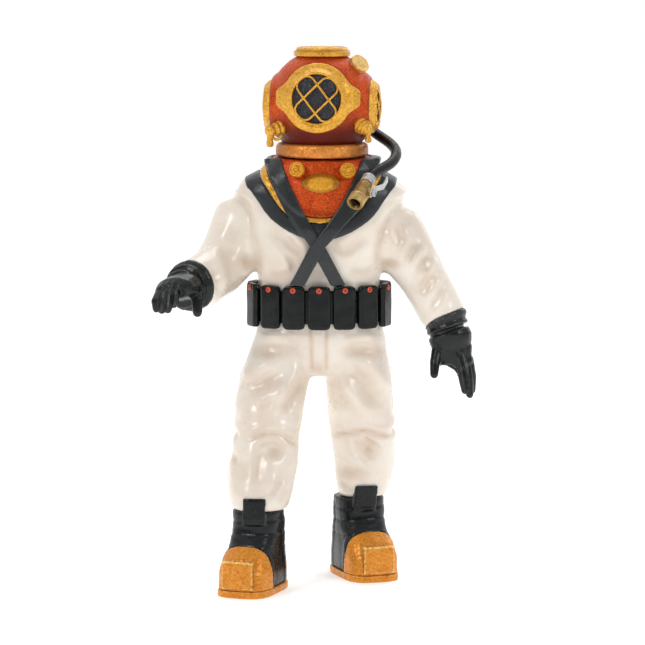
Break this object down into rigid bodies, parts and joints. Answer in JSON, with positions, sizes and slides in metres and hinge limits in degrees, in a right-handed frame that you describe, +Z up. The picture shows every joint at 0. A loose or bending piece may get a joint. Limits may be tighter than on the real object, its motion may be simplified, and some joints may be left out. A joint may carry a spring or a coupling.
{
  "type": "bubbling ornament",
  "caption": "Standing helmet diver pond ornament that vents air from its helmet, fed through a rubber hose and a small lever ball valve.",
  "frame": {"origin": "centre of the figure's own footprint box, without the hose and what hangs on it, at the soles' underside", "axes": "+Z up, the figure faces -Y, its own left is +X"},
  "size_m": [0.3576, 0.1974, 0.599],
  "materials": {
    "suit": "glossy off-white paint on cast resin with a brown wash in the folds",
    "glove": "glossy black paint on cast resin",
    "boot": "glossy black paint on cast resin",
    "harness": "semi-gloss charcoal paint on cast resin",
    "belt": "glossy black paint on cast resin",
    "copper": "hammered copper paint on cast resin",
    "gold": "antiqued gold paint on cast resin",
    "toe_gold": "antiqued orange-gold paint on cast resin",
    "window": "black glittered paint on a ribbed disc",
    "hose": "smooth semi-gloss",
    "brass": "turned, dulled",
    "steel": "satin",
    "inner": "plain moulded"
  },
  "bodies": {
    "diver": {"jacket": "suit", "right_trouser_leg": "suit", "left_trouser_leg": "suit", "right_sleeve": "suit", "left_sleeve": "suit", "right_glove": "glove", "left_glove": "glove", "right_boot": "boot", "right_toe_cap": "toe_gold", "right_sole": "toe_gold", "left_boot": "boot", "left_toe_cap": "toe_gold", "left_sole": "toe_gold", "corselet": "copper", "corselet_brail": "gold", "collar": "harness", "corselet_plate": "gold", "right_corselet_stud": "gold", "left_corselet_stud": "gold", "right_harness_strap": "harness", "left_harness_strap": "harness", "belt_band": "belt", "belt_weight_01": "belt", "belt_weight_02": "belt", "belt_weight_03": "belt", "belt_weight_04": "belt", "belt_weight_05": "belt", "belt_weight_06": "belt", "belt_weight_07": "belt", "belt_weight_08": "belt", "belt_weight_09": "belt", "belt_weight_10": "belt", "belt_weight_11": "belt", "belt_weight_12": "belt", "belt_weight_13": "belt", "belt_weight_14": "belt", "front_window_frame": "gold", "front_window_glass": "window", "right_window_frame": "gold", "right_window_glass": "window", "left_window_frame": "gold", "left_window_glass": "window", "top_cap": "gold", "crown_plug": "gold", "right_spitcock": "gold", "left_spitcock": "gold", "neck_ring": "gold", "air_hose": "hose", "inlet_elbow": "brass", "helmet_bonnet": "copper", "air_tube": "inner", "air_stone": "inner", "valve_ferrule": "steel", "valve_body": "brass", "valve_seat_upper": "inner", "valve_seat_lower": "inner"},
    "valve_handle": {"valve_ball": "steel", "valve_spindle": "steel", "valve_lever": "steel", "lever_nut": "steel"}
  },
  "joints": [
    {"name": "valve_turn", "type": "hinge", "parent": "diver", "child": "valve_handle", "pos_m": [0.05028, -0.05679, 0.44592], "axis": [0.933, -0.2894, -0.2141], "range_deg": [0, 90]}
  ]
}
